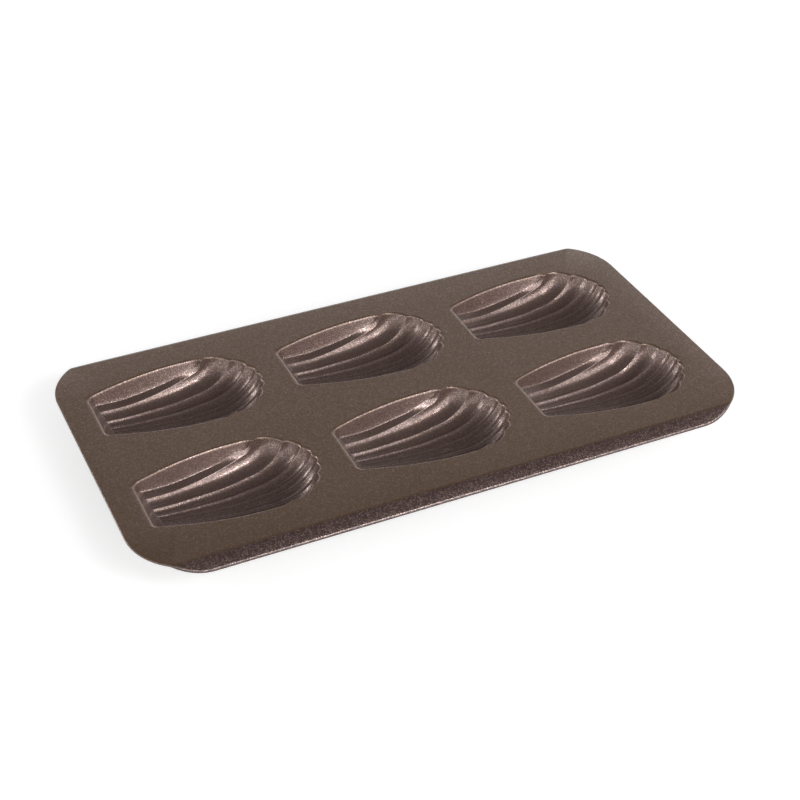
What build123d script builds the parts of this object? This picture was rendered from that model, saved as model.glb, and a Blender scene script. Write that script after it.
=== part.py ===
"""Madeleine pan: one pressed steel sheet with six shell moulds and a non-stick coat on both sides.

Millimetres, +Z up, +X from the narrow end of the shells to their scalloped end.
The origin is under the middle of the pan, at the level that the shells stand on.
"""

import os
from math import cos, radians, sin, sqrt, tan

from build123d import *

os.makedirs("parts", exist_ok=True)

# Overall pan
pan_length = 300.0
pan_width = 165.0
corner_radius = 30.0

# Sheet and its coats
steel_thickness = 0.7
coat_thickness = 0.15
sheet_thickness = steel_thickness + 2 * coat_thickness

# Long edges, folded down along a straight line
lip_run = 5.5
lip_angle = 34.0
fold_radius = 1.6

# Places of the shells on the deck
shell_pitch_x = 94.9
shell_pitch_y = 70.0
shell_shift_x = -1.5
shells_along = 3
shells_across = 2

# One shell, seen from its own origin on the deck
shell_back = 40.0
shell_front = 39.8
half_width = 25.0
ridge_depth = 16.0
end_wall_angle = 30.0
side_wall_angle = 18.0
end_corner_radius = 2.5

# The scalloped end turns up about a level axis over the shell
fan_x = 14.0
fan_rise = 4.0
fan_angle = 90.0
fan_steps = 5
ceiling_drop = 2.0

# Bow of each flute between its two ridges, of the side wall and of the band at its foot
flute_bow_share = 0.19
wall_bow_share = 0.015
band_bow_share = 0.06

# Upright stations, as shares of the way from the fan axis back past the narrow end
station_shares = (1.06, 0.88, 0.70, 0.515, 0.35, 0.185, 0.0)

# Half width of the mouth at the stations, as shares of the greatest
mouth_shares = (0.58, 0.70, 0.814, 0.90, 0.956, 0.986, 0.994)

# Depth of the wall's foot and of the four ridges of one half, at the stations
depth_share_rows = (
    (0.250, 0.380, 0.500, 0.522, 0.494, 0.412, 0.225),
    (0.335, 0.440, 0.545, 0.588, 0.575, 0.520, 0.410),
    (0.488, 0.580, 0.680, 0.744, 0.800, 0.825, 0.788),
    (0.588, 0.694, 0.788, 0.850, 0.900, 0.919, 0.888),
    (0.662, 0.753, 0.844, 0.919, 0.969, 0.994, 0.956),
)

# Where the foot and the ridges lie across the shell at its narrow end, and where they meet the mouth
ridge_back_shares = (0.560, 0.402, 0.208, 0.104, 0.033)
ridge_end_shares = (0.960, 0.932, 0.688, 0.392, 0.128)
ridge_reach_shares = (0.455, 0.492, 0.795, 0.939, 1.0)

# Derived lengths
wall_slope = tan(radians(side_wall_angle))
station_reach = shell_back + fan_x
line_count = len(depth_share_rows)
fold_top_radius = fold_radius + sheet_thickness
fold_start = pan_width / 2 - lip_run - fold_top_radius * tan(radians(lip_angle / 2))
steel_bottom = coat_thickness + steel_thickness


def line_depth(line, station):
    """Depth of the foot or of a ridge below the deck at an upright station."""
    return ridge_depth * depth_share_rows[line][station]


def station_x(station):
    """Place of an upright station along the shell."""
    return fan_x - station_reach * station_shares[station]


def line_end(line):
    """Plan point where the foot or a ridge meets the mouth."""
    return shell_front * ridge_reach_shares[line], half_width * ridge_end_shares[line]


def upright_offset(line, station):
    """Distance of the foot or of a ridge from the shell's middle plane at an upright station."""
    if line == 0:
        return half_width * mouth_shares[station] - wall_slope * line_depth(line, station)
    end_x, end_y = line_end(line)
    back_y = half_width * ridge_back_shares[line]
    way = (station_x(station) + shell_back) / (end_x + shell_back)
    return back_y + way * (end_y - back_y)


def fan_point(line, turn):
    """Offset from the middle plane and radius from the fan axis, on a plane turned up by turn."""
    last = len(station_shares) - 1
    low_radius = fan_rise + line_depth(line, last)
    end_x, end_y = line_end(line)
    level_radius = (end_x - fan_x) / sqrt(1 - (fan_rise / low_radius) ** 2)
    radius = 1 / sqrt((sin(turn) / level_radius) ** 2 + (cos(turn) / low_radius) ** 2)
    start_y = upright_offset(line, last)
    way = radius * sin(turn) / (end_x - fan_x)
    return start_y + way * (end_y - start_y), radius


def section_points(points):
    """Close one half's points with the top of the wall: from the ceiling down to the middle."""
    foot_y, foot_radius = points[0]
    top_y = foot_y + wall_slope * (foot_radius - ceiling_drop)
    return [(top_y, ceiling_drop)] + points


def draw_section(plane, half, grow):
    """Closed cross-section: a bowed wall, a band at its foot, and flutes that meet at ridges."""
    right = [(y, -radius) for y, radius in half]
    left = [(-y, v) for y, v in reversed(right)]
    outline = right + left
    bows = [wall_bow_share, band_bow_share] + [flute_bow_share] * (2 * line_count - 3)
    bows += [band_bow_share, wall_bow_share]
    with BuildSketch(plane) as section:
        with BuildLine():
            for start, end, bow in zip(outline, outline[1:], bows):
                chord = sqrt((end[0] - start[0]) ** 2 + (end[1] - start[1]) ** 2)
                SagittaArc(start, end, bow * chord)
            Line(outline[-1], outline[0])
        make_face()
        if grow:
            offset(amount=grow, kind=Kind.INTERSECTION)
    return section.sketch


def shell_sections(grow):
    """Cross-sections of one shell: upright along its body, then turned up around the fan axis."""
    sections = []
    for station in range(len(station_shares)):
        half = [(upright_offset(k, station), fan_rise + line_depth(k, station)) for k in range(line_count)]
        plane = Plane(origin=(station_x(station), 0, fan_rise), x_dir=(0, 1, 0), z_dir=(1, 0, 0))
        sections.append(draw_section(plane, section_points(half), grow))
    for step in range(1, fan_steps + 1):
        turn = radians(fan_angle) * step / fan_steps
        half = [fan_point(k, turn) for k in range(line_count)]
        plane = Plane(origin=(fan_x, 0, fan_rise), x_dir=(0, 1, 0), z_dir=(cos(turn), 0, sin(turn)))
        sections.append(draw_section(plane, section_points(half), grow))
    return sections


def shell_form(grow):
    """Solid that fills one shell and stands over its mouth, grown outwards by grow."""
    lean = radians(end_wall_angle)
    normal = Vector(cos(lean), 0, sin(lean))
    end_wall = Plane(origin=Vector(-shell_back, 0, 0) - normal * grow, z_dir=normal)
    with BuildPart() as form:
        loft(sections=shell_sections(grow))
        split(bisect_by=end_wall, keep=Keep.TOP)
        end_edges = form.faces().sort_by(Axis.X)[0].edges().sort_by(Axis.Y)
        fillet([end_edges[0], end_edges[-1]], radius=end_corner_radius + grow)
    return form.part


def shell_bowl(grow):
    """The part of the grown form that hangs under the sheet's face at that depth."""
    with BuildPart() as bowl:
        add(forms[grow])
        split(bisect_by=Plane.XY.offset(-grow), keep=Keep.BOTTOM)
    return bowl.part


def fold_points(depth):
    """Half profile at a depth below the food side: start, middle and end of the bend, tip of the lip."""
    radius = fold_top_radius - depth
    turn = radians(lip_angle)
    points = [(fold_start + radius * sin(a), radius * cos(a) - fold_top_radius) for a in (0, turn / 2, turn)]
    end_y, end_z = points[-1]
    lip_reach = 2 * lip_run
    return points + [(end_y + lip_reach * cos(turn), end_z - lip_reach * sin(turn))]


def folded_deck(top, bottom, inset):
    """Deck with its folded long edges between two depths, its outline drawn in by inset."""
    upper, lower = fold_points(top), fold_points(bottom)
    with BuildPart() as deck:
        with BuildSketch(Plane(origin=(0, 0, deck_level), x_dir=(0, 1, 0), z_dir=(1, 0, 0))):
            with BuildLine():
                Line((0, -top), upper[0])
                ThreePointArc(*upper[:3])
                Polyline(upper[2], upper[3], lower[3], lower[2])
                ThreePointArc(*reversed(lower[:3]))
                Polyline(lower[0], (0, -bottom), (0, -top))
            make_face()
            mirror(about=Plane.YZ)
        extrude(amount=pan_length / 2, both=True)
        with BuildSketch(Plane.XY):
            RectangleRounded(pan_length - 2 * inset, pan_width - 2 * inset, corner_radius - inset)
        extrude(amount=deck_level, mode=Mode.INTERSECT)
    return deck.part


def sheet_layer(top, bottom, inset):
    """One layer of the pan: folded deck and six pressed shells between two depths."""
    with BuildPart() as layer:
        add(folded_deck(top, bottom, inset))
        with Locations((shell_shift_x, 0, deck_level)):
            with GridLocations(shell_pitch_x, shell_pitch_y, shells_along, shells_across):
                add(shell_bowl(bottom))
        with Locations((shell_shift_x, 0, deck_level)):
            with GridLocations(shell_pitch_x, shell_pitch_y, shells_along, shells_across):
                add(forms[top], mode=Mode.SUBTRACT)
    return layer.part


def edge_wrap(top, bottom, width):
    """Strip of coat round the cut edge of the sheet, between two depths."""
    with BuildPart() as wrap:
        add(folded_deck(top, bottom, 0))
        add(folded_deck(top, bottom, width), mode=Mode.SUBTRACT)
    return wrap.part


# Forms of one shell at the four faces of the layers, and the level that they set for the deck
forms = {depth: shell_form(depth) for depth in (0, coat_thickness, steel_bottom, sheet_thickness)}
deck_level = -forms[sheet_thickness].bounding_box().min.Z

# Pressed core: the sheet that gives the pan its form
with BuildPart() as steel_sheet:
    add(sheet_layer(coat_thickness, steel_bottom, coat_thickness))

# Coat of the food side, which also wraps the cut edge of the sheet
with BuildPart() as nonstick_top:
    add(sheet_layer(0, coat_thickness, 0))
    add(edge_wrap(coat_thickness, steel_bottom, coat_thickness))

# Coat of the underside
with BuildPart() as nonstick_underside:
    add(sheet_layer(steel_bottom, sheet_thickness, 0))

steel_sheet.part.label = "steel_sheet"
nonstick_top.part.label = "nonstick_top"
nonstick_underside.part.label = "nonstick_underside"

export_step(steel_sheet.part, "parts/steel_sheet.step")
export_step(nonstick_top.part, "parts/nonstick_top.step")
export_step(nonstick_underside.part, "parts/nonstick_underside.step")
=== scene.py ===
"""Madeleine pan with six shell moulds, dressed as an add-on that is run as a script.

Metres, +Z up, +X from the narrow end of the shells to their scalloped end.
The origin is under the middle of the pan, at the level that the shells stand on.
"""

from math import atan2, cos, pi, radians, sin, sqrt, tan

import bmesh
import bpy
import numpy as np
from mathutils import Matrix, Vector


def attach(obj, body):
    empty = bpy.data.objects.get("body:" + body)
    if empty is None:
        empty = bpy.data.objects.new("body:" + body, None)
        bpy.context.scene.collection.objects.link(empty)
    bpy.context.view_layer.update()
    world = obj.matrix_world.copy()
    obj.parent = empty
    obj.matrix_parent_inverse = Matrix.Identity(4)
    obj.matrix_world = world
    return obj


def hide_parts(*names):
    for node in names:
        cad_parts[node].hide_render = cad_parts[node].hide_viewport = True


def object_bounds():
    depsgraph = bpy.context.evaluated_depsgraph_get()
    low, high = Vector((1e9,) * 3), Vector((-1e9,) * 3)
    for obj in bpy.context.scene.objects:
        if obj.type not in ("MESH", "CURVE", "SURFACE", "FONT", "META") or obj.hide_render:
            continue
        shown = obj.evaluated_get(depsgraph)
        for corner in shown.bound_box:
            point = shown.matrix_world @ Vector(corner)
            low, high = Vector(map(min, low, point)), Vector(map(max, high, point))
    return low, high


bl_info = {
    "name": "Madeleine pan",
    "version": (1, 0, 0),
    "blender": (4, 5, 0),
    "location": "3D View > Sidebar > Madeleine pan",
    "description": "Pressed and coated madeleine pan with its studio",
    "category": "Object",
}

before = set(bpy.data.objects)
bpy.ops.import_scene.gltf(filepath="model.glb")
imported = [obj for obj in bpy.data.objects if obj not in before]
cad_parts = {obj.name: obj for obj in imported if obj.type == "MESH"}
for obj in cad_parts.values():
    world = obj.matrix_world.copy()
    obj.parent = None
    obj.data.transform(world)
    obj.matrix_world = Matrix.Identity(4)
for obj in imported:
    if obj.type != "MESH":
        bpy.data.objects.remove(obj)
cad_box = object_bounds()

# Shares that give one shell its form, from its side to its middle: the foot of the side wall,
# then four ridges
STATION_SHARES = (1.06, 0.88, 0.70, 0.515, 0.35, 0.185, 0.0)
MOUTH_SHARES = (0.58, 0.70, 0.814, 0.90, 0.956, 0.986, 0.994)
DEPTH_SHARE_ROWS = (
    (0.250, 0.380, 0.500, 0.522, 0.494, 0.412, 0.225),
    (0.335, 0.440, 0.545, 0.588, 0.575, 0.520, 0.410),
    (0.488, 0.580, 0.680, 0.744, 0.800, 0.825, 0.788),
    (0.588, 0.694, 0.788, 0.850, 0.900, 0.919, 0.888),
    (0.662, 0.753, 0.844, 0.919, 0.969, 0.994, 0.956),
)
RIDGE_BACK_SHARES = (0.560, 0.402, 0.208, 0.104, 0.033)
RIDGE_END_SHARES = (0.960, 0.932, 0.688, 0.392, 0.128)
RIDGE_REACH_SHARES = (0.455, 0.492, 0.795, 0.939, 1.0)
FLUTE_BOW_SHARE = 0.19
WALL_BOW_SHARE = 0.015
BAND_BOW_SHARE = 0.06

# Columns of the shell's mesh across one half, its rows along the shell, and the steps in the
# outline's corners, in the fold and in the roundings of the cut edge
FAN_STEPS = 9
WALL_TOP_COLUMNS = 9
WALL_LOW_COLUMNS = 4
FOOT_COLUMNS = 3
BAND_COLUMNS = 2
RIDGE_COLUMNS = 3
FLUTE_COLUMNS = 6
MIDDLE_COLUMNS = 3
END_TOP_ROWS = 8
END_LOW_ROWS = 4
END_BEND_ROWS = 5
FLOOR_ROWS = 31
MOUTH_ROWS = 10
CORNER_SEGMENTS = 24
FOLD_CUTS = 6
EDGE_STEPS = 5
CORE_EDGE_STEPS = 4
LOW_EDGE_STEPS = 3

# Heights over the deck that the walls are drawn up to before the mouth is rounded, and from which
# they lie flat; how deep the rounding's rows reach; and the slope that the rounding is true for
RIM_HEIGHT = 0.0036
FLAT_HEIGHT = 0.00315
ZONE_DEPTH = 0.0012
MOUTH_SLOPE = 0.3

# Largest parts of a low wall that lie flat and that the mouth's rows take, and of the way to the
# next corner that a ridge's rounding takes
FLAT_SHARE = 0.3
ZONE_SHARE = 0.8
ROUNDING_SHARE = 0.3

# How far up the side wall the end wall's foot radius grows to its corner radius; the share of its
# half width that its top row keeps over the foot; and the length of the fan's turn in its deepest arc
CORNER_EASE = 0.005
END_TOP_SHARE = 0.7
FAN_SHARE = 0.9

# Where the rim's rows run together: how near and how deep they are smoothed, and how often
POLE_REACH = 0.005
POLE_DEPTH = 0.00003
POLE_ROUNDS = 30

# Rounds of a search along a line, lengths taken as nothing and as one point, and the scale at which
# the deck is filled, because the fill goes wrong on edges as short as a shell's
SEARCH_ROUNDS = 40
MICRON = 1e-6
MERGE_DISTANCE = 2e-6
FILL_SCALE = 1000

# Angle from which an edge stays sharp, and the bend that counts as a full crest or hollow
SHARP_DEGREES = 45
CREST_RADIUS = 0.002

# Flakes: scales of the fine and the coarse kind, how softly a cell becomes a flake, distances at
# which its spot ends and is full, the parting of the two tints, and the weight of the coarse kind
FLAKE_SCALES = (0.62, 0.38)
FLAKE_EASE = 0.12
FLAKE_SPOT = (0.62, 0.30)
TINT_RANGE = (0.55, 0.75)
COARSE_WEIGHT = 0.7

# Orange peel and clouding: their scales, and the range of noise in which the clouding shows
PEEL_SLOW_SCALE = 0.25
CLOUD_SCALE = 0.04
CLOUD_RANGE = (0.36, 0.64)

# Scuffs: stretch of their two directions, and the noise that makes them lines and patches
SCUFF_STRETCHES = ((90, 1900, 400), (1500, 120, 400))
SCUFF_LINE_RANGE = (0.62, 0.70)
SCUFF_PATCH_SCALE = 45.0
SCUFF_PATCH_RANGE = (0.48, 0.66)

# Painted highlight on the crests: scale and range of its noise, and the least that is left between patches
CREST_HIGHLIGHT_SCALE = 900.0
CREST_HIGHLIGHT_RANGE = (0.35, 0.65)
CREST_HIGHLIGHT_LEAST = 0.35

# Foot scuffs: heights at which they start and are full, and what is left of them higher up
FOOT_HEIGHTS = (0.0011, 0.0002)
FOOT_SCUFF_LOW = 0.15

# Heights between which the coat takes its colour below the deck, a lighter purple tint that is painted
# reflection, and distances from the middle between which it takes the painted shade of the folded edges
DEEP_HEIGHTS = (0.0177, 0.0166)
FOLD_REACHES = (0.0766, 0.0778)

# Roughness of the coat: range of the peel and what it adds at its ends, and what a flake, a crest
# or a hollow changes; then how far flakes stand out and scratches lie in, against the peel
PEEL_RANGE = (0.35, 1.15)
PEEL_ROUGHNESS = (-0.05, 0.06)
ROUGHNESS_STEP = 0.05
FLAKE_RELIEF = 0.35
SCRATCH_RELIEF = 0.3

# Steel: stretch and range of its rolling grain, colour share and roughness of the grain, its
# scuffs, how far the grain stands out against them, and the depth of both
GRAIN_STRETCH = (60, 5200, 5200)
GRAIN_RANGE = (0.3, 0.7)
GRAIN_DARK = 0.8
GRAIN_ROUGHNESS = (0.42, 0.28)
STEEL_SCUFFS = 0.25
GRAIN_RELIEF = 0.3
GRAIN_DEPTH = 0.000004

# Floor: colour share of its darker patches, scales of its noise, and its roughness
FLOOR_DARK = 0.97
FLOOR_PATCH_SCALE = 6.0
FLOOR_GRAIN_SCALE = 40.0
FLOOR_GRAIN_RANGE = (0.3, 0.7)
FLOOR_ROUGHNESS = (0.55, 0.65)

# Ways from front to back between which the surround's light falls, and the camera's sensor in mm
SIDE_RANGE = (-0.5, 0.5)
SENSOR_WIDTH = 36


def length_prop(name, description, default):
    """Size property in metres."""
    return bpy.props.FloatProperty(name=name, description=description, default=default, unit="LENGTH", precision=5)


def share_prop(name, description, default):
    """Property between none and all."""
    return bpy.props.FloatProperty(name=name, description=description, default=default, min=0, max=1, subtype="FACTOR")


def colour_prop(name, description, default):
    """Colour property, in linear light."""
    return bpy.props.FloatVectorProperty(
        name=name, description=description, default=default, size=3, min=0, max=1, subtype="COLOR"
    )


def angle_prop(name, description, default):
    """Angle property, its default in degrees."""
    return bpy.props.FloatProperty(name=name, description=description, default=radians(default), subtype="ANGLE")


def number_prop(name, description, default):
    """Property that is a plain number."""
    return bpy.props.FloatProperty(name=name, description=description, default=default, min=0, precision=4)


def power_prop(name, description, default):
    """Power of a lamp in watts."""
    return bpy.props.FloatProperty(name=name, description=description, default=default, min=0, subtype="POWER")


def point_prop(name, description, default):
    """Point in metres."""
    return bpy.props.FloatVectorProperty(
        name=name, description=description, default=default, size=3, subtype="TRANSLATION", unit="LENGTH", precision=5
    )


def area_prop(name, description, default):
    """Width and height in metres."""
    return bpy.props.FloatVectorProperty(name=name, description=description, default=default, size=2, unit="LENGTH")


class PanSizes(bpy.types.PropertyGroup):
    """Sizes of the pressed sheet."""

    pan_length: length_prop("Pan length", "Along the shells", 0.300)
    pan_width: length_prop("Pan width", "Across the shells", 0.165)
    corner_radius: length_prop("Corner radius", "Of the pan's outline", 0.030)
    deck_level: length_prop("Deck level", "Height of the flat food side", cad_box[1][2])
    sheet_thickness: length_prop("Sheet thickness", "Steel and both coats", 0.001)
    coat_thickness: length_prop("Coat thickness", "Of each coat", 0.00015)
    edge_radius: length_prop("Edge radius", "Rounding of the cut edge on the food side", 0.00045)
    lip_run: length_prop("Lip run", "From the fold line to the pan's long edge", 0.0055)
    lip_angle: angle_prop("Lip angle", "How far the long edges are folded down", 34)
    fold_radius: length_prop("Fold radius", "Inside the fold", 0.0016)
    pitch_x: length_prop("Pitch along", "Between shells along the pan", 0.0949)
    pitch_y: length_prop("Pitch across", "Between shells across the pan", 0.070)
    shift_x: length_prop("Shift", "Of the shells along the pan", -0.0015)
    shells_along: bpy.props.IntProperty(name="Shells along", description="In one row", default=3, min=1)
    shells_across: bpy.props.IntProperty(name="Shells across", description="Rows", default=2, min=1)


class ShellSizes(bpy.types.PropertyGroup):
    """Sizes of one shell, seen from its own origin on the deck."""

    back: length_prop("Back", "From the origin to the narrow end", 0.0400)
    front: length_prop("Front", "From the origin to the middle of the scalloped end", 0.0398)
    half_width: length_prop("Half width", "At the widest place", 0.025)
    ridge_depth: length_prop("Ridge depth", "Of the middle ridges at their deepest", 0.015985)
    end_wall_lean: angle_prop("End wall lean", "Of the wall at the narrow end", 30)
    side_wall_lean: angle_prop("Side wall lean", "Of the long side walls", 18)
    end_corner_radius: length_prop("End corner radius", "Between side wall and end wall", 0.0025)
    end_foot_radius: length_prop("End foot radius", "Between end wall and floor", 0.0006)
    foot_radius: length_prop("Foot radius", "Between side wall and floor", 0.0011)
    ridge_radius: length_prop("Ridge radius", "Rounding of the ridges", 0.00055)
    mouth_radius: length_prop("Mouth radius", "Rounding of the shell's mouth", 0.00125)
    fan_x: length_prop("Fan place", "Of the level axis that the scalloped end turns about", 0.014)
    fan_rise: length_prop("Fan rise", "Of that axis over the deck", 0.004)
    ceiling: length_prop("Ceiling", "Where the walls are drawn up to, under the fan axis", 0.002)


class CoatFinish(bpy.types.PropertyGroup):
    """Colours and surface of the coats and the steel."""

    top_colour: colour_prop("Food side", "Binder of the food side's coat", (0.166, 0.094, 0.052))
    under_colour: colour_prop("Underside", "Binder of the underside's coat", (0.100, 0.064, 0.044))
    cloud_colour: colour_prop("Clouding", "Where the coat is a little thinner", (0.194, 0.116, 0.070))
    # Painted reflection: the coat below the deck takes a lighter, purple tint for the flakes' reflection on the shells'
    # walls
    shell_reflection_tint: colour_prop("Below the deck", "Coat in the shells", (0.186, 0.115, 0.096))
    # Painted shade: the folded edges take a dark colour for the shade on the lips
    fold_shade_colour: colour_prop("Folded edges", "Coat on the folded edges", (0.070, 0.038, 0.033))
    # Painted shade: the hollows between the ridges take a dark colour
    hollow_shade_colour: colour_prop("Hollows", "Where the coat has gathered", (0.050, 0.030, 0.024))
    # Colour of the real scuffs, and of the painted highlight on the crests
    scuff_and_highlight_colour: colour_prop("Wear", "Rubbed crests and scuffs", (0.50, 0.44, 0.44))
    warm_flake: colour_prop("Warm flakes", "Bronze flakes in the coat", (0.50, 0.36, 0.28))
    cool_flake: colour_prop("Cool flakes", "Purple flakes in the coat", (0.45, 0.33, 0.38))
    steel_colour: colour_prop("Steel", "Cold-rolled sheet", (0.55, 0.55, 0.56))
    cloud: share_prop("Clouding share", "How much the clouding shows", 0.45)
    # Share of the painted shade in the hollows
    hollow_shade_share: share_prop("Hollow share", "How much darker hollows are", 0.85)
    # Share of the painted highlight on the crests
    crest_highlight_share: share_prop("Crest wear", "How much crests are rubbed", 0.36)
    scuffs: share_prop("Scuffs", "Fine scratches on the food side", 0.12)
    foot_scuffs: share_prop("Foot scuffs", "Scratches under the shells that the pan stands on", 0.7)
    flake_scale: number_prop("Flake fineness", "Flakes to the metre", 4200)
    flake_share: share_prop("Flake share", "Part of the coat that is flakes", 0.34)
    binder_metal: share_prop("Binder metal", "How metallic the coat is between its flakes", 0.45)
    flake_metal: share_prop("Flake metal", "How metallic its flakes are", 1.0)
    peel_scale: number_prop("Peel fineness", "Bumps of the orange peel to the metre", 700)
    peel_depth: length_prop("Peel depth", "Height of the orange peel", 0.000008)
    roughness: share_prop("Roughness", "Of the coat under its gloss", 0.30)
    gloss: share_prop("Gloss", "Weight of the clear skin over the flakes", 0.7)
    gloss_roughness: share_prop("Gloss roughness", "Of the clear skin", 0.14)


class PanStudio(bpy.types.PropertyGroup):
    """Floor, surround, lamps and camera."""

    floor_colour: colour_prop("Floor", "Pale floor", (0.82, 0.82, 0.82))
    floor_lift: share_prop("Floor lift", "Light that the floor gives to the camera alone", 0.62)
    floor_size: length_prop("Floor size", "Side of the square floor", 8.0)
    horizon_level: number_prop("Horizon level", "Light of the surround at the horizon", 1.4)
    back_level: share_prop("Back level", "Part of that light behind the pan", 0.75)
    top_level: number_prop("Top level", "Light of the surround overhead", 0.12)
    horizon_height: share_prop("Horizon height", "Up to where the horizon's light is even", 0.05)
    top_height: share_prop("Top height", "From where the light overhead is even", 0.75)
    back_place: point_prop("Back softbox", "Its middle, low behind the pan on the left", (-0.65, 0.46, 0.27))
    back_size: area_prop("Back softbox size", "Width and height", (0.28, 0.2))
    back_power: power_prop("Back power", "Back softbox", 0.7)
    top_place: point_prop("Top softbox", "Its middle, high behind the camera on the right", (0.36, -0.92, 0.76))
    top_size: area_prop("Top softbox size", "Width and height", (0.3, 0.3))
    top_power: power_prop("Top power", "Top softbox", 2.2)
    front_place: point_prop("Front softbox", "Its middle, behind the camera on the right", (0.45, -1.2, 0.62))
    front_size: area_prop("Front softbox size", "Width and height", (1.9, 1.0))
    front_power: power_prop("Front power", "Front softbox", 10)
    lens: bpy.props.FloatProperty(name="Lens", description="Focal length", default=72.72, subtype="DISTANCE_CAMERA")
    camera_place: point_prop("Camera", "Its place", (-0.263827, -0.563779, 0.466294))
    camera_turn: bpy.props.FloatVectorProperty(
        name="Camera turn",
        description="Its turn about the three axes",
        default=(radians(53.7052), radians(-0.4771), radians(-24.9019)),
        size=3,
        subtype="EULER",
    )


def spline_slopes(knots, values):
    """Second derivatives of a natural cubic spline through values at knots."""
    count = len(knots)
    gaps = np.diff(knots)
    matrix = np.eye(count)
    right = np.zeros((count,) + values.shape[1:])
    for k in range(1, count - 1):
        matrix[k, k - 1 : k + 2] = gaps[k - 1], 2 * (gaps[k - 1] + gaps[k]), gaps[k]
        after = (values[k + 1] - values[k]) / gaps[k]
        before = (values[k] - values[k - 1]) / gaps[k - 1]
        right[k] = 6 * (after - before)
    return np.linalg.solve(matrix, right.reshape(count, -1)).reshape(right.shape)


class Column:
    """One line along the shell: a smooth curve through its points in the key sections."""

    def __init__(self, knots, points, bends):
        self.knots, self.points, self.bends = knots, points, bends

    def at(self, place):
        """Point of the curve at a place along it."""
        k = int(np.clip(np.searchsorted(self.knots, place) - 1, 0, len(self.knots) - 2))
        gap = self.knots[k + 1] - self.knots[k]
        b = (place - self.knots[k]) / gap
        a = 1 - b
        curve = ((a**3 - a) * self.bends[k] + (b**3 - b) * self.bends[k + 1]) * gap * gap / 6
        return a * self.points[k] + b * self.points[k + 1] + curve

    def where(self, measure, low, high):
        """Place between low and high at which a rising measure of the point passes zero."""
        for _ in range(SEARCH_ROUNDS):
            middle = (low + high) / 2
            if measure(self.at(middle)) < 0:
                low = middle
            else:
                high = middle
        return (low + high) / 2


def arc_circle(start, end, bow_share):
    """Centre and radius of an arc that bows outwards, to the left of the way from start to end."""
    chord = end - start
    size = np.hypot(*chord)
    bow = bow_share * size
    radius = (size * size / 4 + bow * bow) / (2 * bow)
    inward = np.array((chord[1], -chord[0])) / size
    return (start + end) / 2 + inward * (radius - bow), radius


def circle_meeting(first, second, near):
    """The one of two circles' meeting points that lies nearer to a point."""
    (c1, r1), (c2, r2) = first, second
    gap = c2 - c1
    size = np.hypot(*gap)
    along = (size * size + r1 * r1 - r2 * r2) / (2 * size)
    aside = sqrt(max(r1 * r1 - along * along, 0))
    side = np.array((-gap[1], gap[0])) / size
    points = [c1 + gap / size * along + side * sign * aside for sign in (-1, 1)]
    return min(points, key=lambda p: np.hypot(*(p - near)))


def arc_points(centre, start, end, count):
    """Points from start to end round a centre, the shorter way."""
    a, b = atan2(*(start - centre)[::-1]), atan2(*(end - centre)[::-1])
    if b - a > pi:
        b -= 2 * pi
    if a - b > pi:
        b += 2 * pi
    r1, r2 = np.hypot(*(start - centre)), np.hypot(*(end - centre))
    points = []
    for k in range(count + 1):
        way = k / count
        angle, radius = a + (b - a) * way, r1 + (r2 - r1) * way
        points.append(centre + radius * np.array((cos(angle), sin(angle))))
    return points


def rounding(first, second, corner, radius):
    """Tangent points and centre of a small arc between two larger ones; a ridge's radius is positive."""
    middle = circle_meeting((first[0], first[1] + radius), (second[0], second[1] + radius), corner)
    start = first[0] + (middle - first[0]) * first[1] / (first[1] + radius)
    end = second[0] + (middle - second[0]) * second[1] / (second[1] + radius)
    return start, middle, end


def section_columns(lines, upright, slope, shell):
    """Points of one half's section, from over the top of its wall to its middle.

    A point is its offset from the shell's middle plane and its height over the fan axis, on the
    section's own plane; upright is the cosine of that plane's turn.
    """
    corners = [np.array((y, -r)) for y, r in lines]
    foot = corners[0]
    top = np.array((foot[0] + slope * (-foot[1] - shell.ceiling), -shell.ceiling))
    chain = [top] + corners + [corners[-1] * np.array((-1, 1))]
    shares = [WALL_BOW_SHARE, BAND_BOW_SHARE] + [FLUTE_BOW_SHARE] * (len(corners) - 1)
    circles = [arc_circle(a, b, s) for a, b, s in zip(chain, chain[1:], shares)]
    joints = []
    for k, corner in enumerate(corners):
        reach = min(np.hypot(*(corner - chain[k])), np.hypot(*(chain[k + 2] - corner)))
        radius = min(shell.ridge_radius if k else shell.foot_radius, ROUNDING_SHARE * reach)
        (x1, y1), (x2, y2) = corner - circles[k][0], corner - circles[k + 1][0]
        joints.append(rounding(circles[k], circles[k + 1], corner, radius if x1 * y2 > y1 * x2 else -radius))
    (centre, radius), low = circles[0], -joints[0][0][1]
    top_reach = shell.fan_rise - RIM_HEIGHT
    flat_reach = (shell.fan_rise - FLAT_HEIGHT) / upright
    zone_reach = min((shell.fan_rise + ZONE_DEPTH) / upright, top_reach + ZONE_SHARE * (low - top_reach))
    flat_reach = min(flat_reach, top_reach + FLAT_SHARE * (zone_reach - top_reach))
    reaches = [top_reach] + list(np.linspace(flat_reach, zone_reach, WALL_TOP_COLUMNS))
    reaches += list(np.linspace(zone_reach, low, WALL_LOW_COLUMNS + 1)[1:])
    points = [np.array((centre[0] + sqrt(max(radius**2 - (reach + centre[1]) ** 2, 0)), -reach)) for reach in reaches]
    runs = [BAND_COLUMNS] + [FLUTE_COLUMNS] * (len(corners) - 2)
    for k, (start, middle, end) in enumerate(joints):
        points += arc_points(middle, start, end, RIDGE_COLUMNS if k else FOOT_COLUMNS)[1:]
        if k < len(runs):
            points += arc_points(circles[k + 1][0], end, joints[k + 1][0], runs[k])[1:]
    centre, radius = circles[-1]
    points += arc_points(centre, joints[-1][2], centre - np.array((0, radius)), MIDDLE_COLUMNS)[1:]
    return points


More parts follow.
